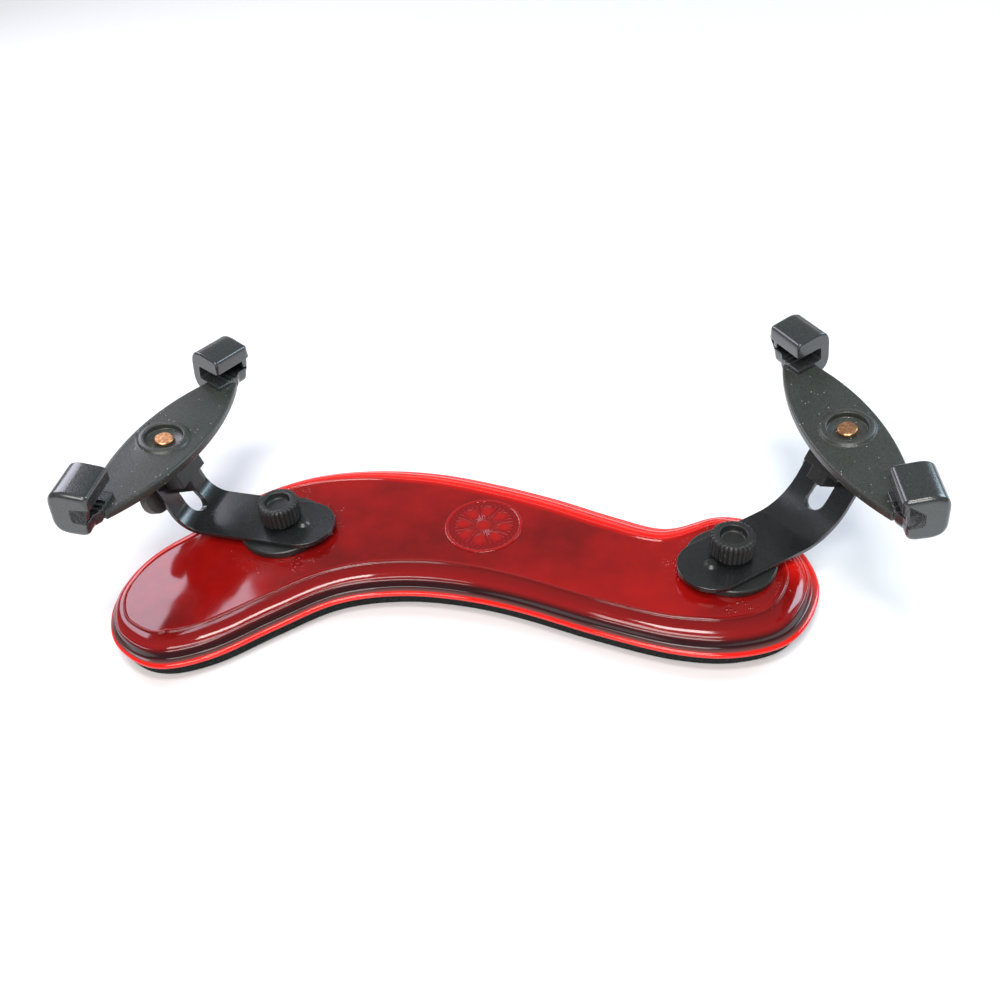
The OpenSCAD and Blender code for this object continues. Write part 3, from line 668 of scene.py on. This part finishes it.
# rings from the pin hole out over recess, collar and face, round the edge and back to the hole underneath
def forkPlate(side):
    origin, x, y, z = forkFrame(side)
    halfWidth = fork["halfWidth"]
    t = np.arange(fork["around"]) / fork["around"] * tau
    angle = np.arctan2(fork["reach"] * np.sin(t), halfWidth * np.cos(t))
    e, deep, high, thick = fork["edge"], -fork["recess"], fork["collarHigh"], -fork["thick"]
    inner, outer = fork["collarIn"], fork["collarOut"]
    circlesIn = [(fork["hole"], thick + 0.3), (fork["hole"], deep - 0.1), (fork["hole"] + 0.1, deep),
                 (inner - 0.3, deep), (inner - 0.08, deep + 0.08), (inner, deep + 0.3), (inner, high - 0.3),
                 (inner + 0.12, high - 0.06), (inner + 0.35, high), (outer - 1.1, high - 0.03),
                 (outer - 0.5, high - 0.14), (outer - 0.15, high - 0.35), (outer + 0.05, 0.2),
                 (outer + 0.25, 0.04), (outer + 0.6, 0.0)]
    turns = np.linspace(0, math.pi / 2, 6)
    edge = [(2.2, 0.0), (e + 0.5, 0.0)]
    edge += [(e * (1 - math.sin(a)), e * (math.cos(a) - 1)) for a in turns]
    edge += [(0.0, thick / 2)]
    edge += [(e * (1 - math.cos(a)), thick + e * (1 - math.sin(a))) for a in turns]
    edge += [(e + 0.5, thick), (2.2, thick)]
    circles = [np.full(len(angle), r) for r, _ in circlesIn]
    circles += [lensReach(angle, d, halfWidth) for d, _ in edge]
    heights = [h for _, h in circlesIn] + [h for _, h in edge]
    circles += [np.full(len(angle), fork["hole"] + 0.3)]
    heights += [thick]
    radius, height = np.array(circles) * mm, np.array(heights)[:, None] * mm
    rings = origin + (radius * np.cos(angle))[..., None] * x + (radius * np.sin(angle))[..., None] * y
    rings = rings + height[..., None] * z
    piece = makePiece(side + "_forkPlate", rings, forkGrey, rowsClose=True)
    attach(piece, side + "_head")
    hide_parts(side + "_fork")


for side in ("left", "right"):
    forkPlate(side)
print("forks made")


boot = dict(
    mid=35.0, length=14.0, toeIn=13.5, edgeOut=1.5, edgeIn=0.7, rows=90,
    tip=-4.2, back=7.6, low=-4.0, high=11.8,          # hook seen along the fork
    gapLow=1.4, gapHigh=6.1, gapEnd=4.2,              # gap for the edge of the instrument
    # a tooth nearly closes the gap's outer end; toothIn and toothOut are its sides, inwards from the tip
    slotEnd=1.4, toothAt=4.2, toothGrow=1.2, toothLow=2.0, toothIn=1.1, toothOut=3.9,
    drawnBack=1.4,                                    # most that the lower jaw's tip draws back
    ribHigh=0.5, ribPitch=1.9, ribShift=-0.6, ribWide=0.36, ribs=3, lip=0.8, cornerSteps=10,
)


# ring with its corners rounded: near each corner p the line is the parabola (1-s)^2 a + 2s(1-s) p + s^2 b,
# with a and b on the sides, a given reach from p
def roundedRing(corners, reach, steps):
    back = np.roll(corners, 1, 1) - corners
    ahead = np.roll(corners, -1, 1) - corners
    back /= np.linalg.norm(back, axis=2)[..., None]
    ahead /= np.linalg.norm(ahead, axis=2)[..., None]
    a, b = corners + back * reach[..., None], corners + ahead * reach[..., None]
    s = np.linspace(0, 1, steps)[:, None]
    ring = ((1 - s) ** 2 * a[:, :, None] + 2 * s * (1 - s) * corners[:, :, None] + s ** 2 * b[:, :, None])
    return ring.reshape(len(corners), -1, 2)


# each ring moved inwards by its own distance times a share for each point, square to its line
def shrunk(rings, distance, share):
    along = np.roll(rings, -1, 1) - np.roll(rings, 1, 1)
    along /= np.linalg.norm(along, axis=2)[..., None] + 1e-12
    inward = np.stack([-along[..., 1], along[..., 0]], -1)
    ahead = np.roll(rings, -1, 1)
    area = np.sum(rings[..., 0] * ahead[..., 1] - rings[..., 1] * ahead[..., 0], 1)
    return rings + inward * ((distance * np.sign(area))[:, None] * share)[..., None]


# hook section carried out along the fork; the lower jaw draws back along the fork's arc, and a tooth on
# the upper jaw nearly closes the outer end
def bootShell(side, end, halfWidth):
    origin, x, y, z = forkFrame(side)
    sign = 1 if (side == "left") == (end == "near") else -1
    half = boot["length"] / 2
    turns = np.linspace(0, math.pi / 2, 7)
    across = np.r_[-half + boot["edgeIn"] * (1 - np.cos(turns)),
                   np.linspace(-half + 1, half - 1.9, boot["rows"]),
                   half - boot["edgeOut"] * (1 - np.sin(turns))]
    shrink = np.r_[boot["edgeIn"] * (1 - np.sin(turns)), np.zeros(boot["rows"]),
                   boot["edgeOut"] * (1 - np.cos(turns))]
    order = np.argsort(across, kind="stable")
    across, shrink = across[order], shrink[order]
    toe = math.radians(boot["toeIn"])
    # x where the fork's arc, with its lip, crosses each row
    arc = ((fork["length"] / 2) ** 2 + halfWidth ** 2) / (2 * halfWidth)
    reach = boot["mid"] + across * math.cos(toe)
    lens = np.sqrt(arc ** 2 - reach ** 2) - arc + halfWidth
    jaw = (-lens - fork["pivotOut"] - boot["lip"] + across * math.sin(toe)) / math.cos(toe)
    lowTip = np.clip(jaw, boot["tip"], boot["tip"] + boot["drawnBack"])
    grown = smoothStep((across - boot["toothAt"]) / boot["toothGrow"])
    places = (np.arange(boot["ribs"]) - (boot["ribs"] - 1) / 2) * boot["ribPitch"] + boot["ribShift"]
    ribs = np.exp(-((across[:, None] - places) / boot["ribWide"]) ** 4).max(1) * boot["ribHigh"]
    one = np.ones_like(across)
    tip, back, low, high = (boot[k] * one for k in ("tip", "back", "low", "high"))
    floorZ, roofZ = boot["gapLow"] + ribs * (1 - grown), boot["gapHigh"] * one
    slotX = boot["gapEnd"] + grown * (boot["slotEnd"] - boot["gapEnd"])
    drop = 0.02 + grown * (boot["gapHigh"] - boot["toothLow"])
    toothIn, toothOut = tip + boot["toothIn"], tip + boot["toothOut"]
    # from the tip's top round the back and the lower jaw, then the gap and the tooth back to the tip
    corners = np.stack([np.stack(c, -1) for c in (
        (tip, high - 0.9), (back, high), (back, low), (lowTip, low), (lowTip, floorZ),
        (slotX, floorZ), (slotX, roofZ), (toothOut, roofZ), (toothOut - 0.2 * grown, roofZ - drop),
        (toothIn + 0.2 * grown, roofZ - drop), (toothIn, roofZ), (tip, roofZ + 0.05))], 1)
    under = boot["back"] - lowTip
    reachOf = np.stack([
        1.6 * one, 5.6 * one, 0.5 * under, 0.28 * under, 0.4 * one, 0.8 * one, 0.8 * one,
        0.01 + 0.1 * drop, 0.01 + 0.2 * drop, 0.01 + 0.2 * drop, 0.01 + 0.06 * drop, 0.3 * one], 1)
    # the outer corners round over the ends in full, those of the gap and the tooth only a little
    share = np.repeat([1, 1, 1, 1, 0.3, 0.1, 0.1, 0.1, 0.1, 0.2, 0.2, 0.35], boot["cornerSteps"])
    rings = shrunk(roundedRing(corners, reachOf, boot["cornerSteps"]), shrink, share)
    px, pz = rings[..., 0], rings[..., 1]
    py = across[:, None]
    fx = px * math.cos(toe) - py * math.sin(toe)
    fy = sign * (boot["mid"] + px * math.sin(toe) + py * math.cos(toe))
    points = origin + (fx[..., None] * x + fy[..., None] * y + pz[..., None] * z) * mm
    piece = makePiece(side + "_" + end + "_boot", points, bootRubber)
    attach(piece, side + "_head")
    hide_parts(side + "_" + end + "_foot")


for side in ("left", "right"):
    for end in ("near", "far"):
        bootShell(side, end, fork["halfWidth"])
print("boots made")


# CAD mesh ready for modifiers: no stored normals, all faces smooth
def clearNormals(piece):
    if "custom_normal" in piece.data.attributes:
        piece.data.attributes.remove(piece.data.attributes["custom_normal"])
    piece.data.polygons.foreach_set("use_smooth", np.ones(len(piece.data.polygons), bool))


# node with its material and its doubles merged
def dressed(node, material):
    piece = frame["nodes"][node]
    clearNormals(piece)
    piece.data.materials.clear()
    piece.data.materials.append(material)
    weld = piece.modifiers.new("weld", "WELD")
    weld.merge_threshold = 0.004 * mm
    return piece


# machined look: sharp edges broken, flats kept flat
def machined(node, material, width):
    piece = dressed(node, material)
    bevel = piece.modifiers.new("bevel", "BEVEL")
    bevel.width, bevel.segments, bevel.limit_method = width * mm, 3, "ANGLE"
    bevel.angle_limit = math.radians(35)
    normals = piece.modifiers.new("normals", "WEIGHTED_NORMAL")
    normals.keep_sharp = False


# moulded look: the solid remeshed finely, then its edges relaxed round
def moulded(node, material, voxel, relax):
    piece = dressed(node, material)
    remesh = piece.modifiers.new("remesh", "REMESH")
    remesh.mode, remesh.voxel_size, remesh.use_smooth_shade = "VOXEL", voxel * mm, True
    smooth = piece.modifiers.new("relax", "SMOOTH")
    smooth.factor, smooth.iterations = 0.5, relax


# node, material and width of its broken edges in mm
hardware = [("strip", stripBlack, 0.25), ("disc", discBlack, 0.2), ("rivet", discBlack, 0.15),
            ("screw_washer", discBlack, 0.15), ("clamp_washer", discBlack, 0.15),
            ("insert", pinBrass, 0.1), ("clamp_stud", pinBrass, 0.2), ("pivot_pin", pinBrass, 0.12)]

for side in ("left", "right"):
    for node, material, width in hardware:
        machined(side + "_" + node, material, width)
    moulded(side + "_carriage", knobBlack, 0.22, 4)
    moulded(side + "_clamp_knob", clampGrey, 0.25, 6)
print("carried-over nodes dressed")


studio = dict(
    cameraAt=(0.05098, -0.20571, 0.21232), cameraTurn=(49.02, 3.68, 10.25), lens=34.31,
    floorTone=(0.90, 0.90, 0.90), floorPale=(0.92, 0.92, 0.92), floorReach=6.0,
    skyTone=(0.93, 0.95, 1.0), sky=0.26,
    # place, point aimed at, width, height, brightness, colour
    lamps=[((0.03, -0.12, 0.85), (0.0, -0.02, 0.0), 0.26, 0.16, 14.0, (1.0, 0.98, 0.95)),
           ((-0.56, 0.36, 0.52), (-0.09, -0.03, 0.01), 0.36, 0.42, 4.6, (0.86, 0.84, 1.0)),
           ((0.62, 0.40, 0.50), (0.10, 0.0, 0.05), 0.30, 0.42, 7.0, (0.62, 0.84, 1.0)),
           ((0.0, -0.62, 0.80), (0.0, 0.0, 0.02), 0.62, 0.42, 6.5, (1.0, 0.99, 0.97)),
           ((0.0, 0.85, 0.36), (0.0, 0.80, 0.0), 2.2, 0.34, 0.75, (1.0, 0.98, 0.95))],
)


# plain square floor just under the object
def addFloor():
    tone, tree, surface, where = newMaterial("floorPale", Roughness=0.95, Specular_IOR_Level=0.1)
    cloud = put(tree, "TexNoise", {"Vector": where, "Scale": 3.0})
    paper = mixed(tree, cloud.outputs["Fac"], studio["floorTone"], studio["floorPale"])
    tree.links.new(paper, surface["Base Color"])
    mesh = bpy.data.meshes.new("floor")
    reach, level = studio["floorReach"], cadLow.z - 0.05 * mm
    corners = [(-reach, -reach, level), (reach, -reach, level), (reach, reach, level), (-reach, reach, level)]
    mesh.from_pydata(corners, [], [(0, 1, 2, 3)])
    mesh.materials.append(tone)
    floor = bpy.data.objects.new("floor", mesh)
    bpy.context.scene.collection.objects.link(floor)


# soft boxes, each with power 4 * width * height * brightness
def addLamps():
    for index, (place, aim, width, height, bright, colour) in enumerate(studio["lamps"]):
        lamp = bpy.data.lights.new("softbox%d" % index, "AREA")
        lamp.shape, lamp.size, lamp.size_y = "RECTANGLE", width, height
        lamp.energy = 4 * width * height * bright
        lamp.color = colour
        box = bpy.data.objects.new(lamp.name, lamp)
        box.location = place
        box.rotation_euler = (Vector(aim) - Vector(place)).to_track_quat("-Z", "Y").to_euler()
        bpy.context.scene.collection.objects.link(box)


# even light from all round
def addSky():
    world = bpy.context.scene.world or bpy.data.worlds.new("studioSky")
    bpy.context.scene.world = world
    world.use_nodes = True
    sky = world.node_tree.nodes["Background"].inputs
    sky["Color"].default_value = (*studio["skyTone"], 1)
    sky["Strength"].default_value = studio["sky"]


# camera with its angles turned from degrees to radians
def addCamera():
    lens = bpy.data.cameras.new("camera")
    lens.lens, lens.sensor_width, lens.clip_start = studio["lens"], 36.0, 0.01
    camera = bpy.data.objects.new("camera", lens)
    camera.location = studio["cameraAt"]
    camera.rotation_euler = [math.radians(a) for a in studio["cameraTurn"]]
    bpy.context.scene.collection.objects.link(camera)
    bpy.context.scene.camera = camera


addFloor()
addLamps()
addSky()
addCamera()
bpy.context.scene.view_settings.view_transform = "Standard"
print("stage set")
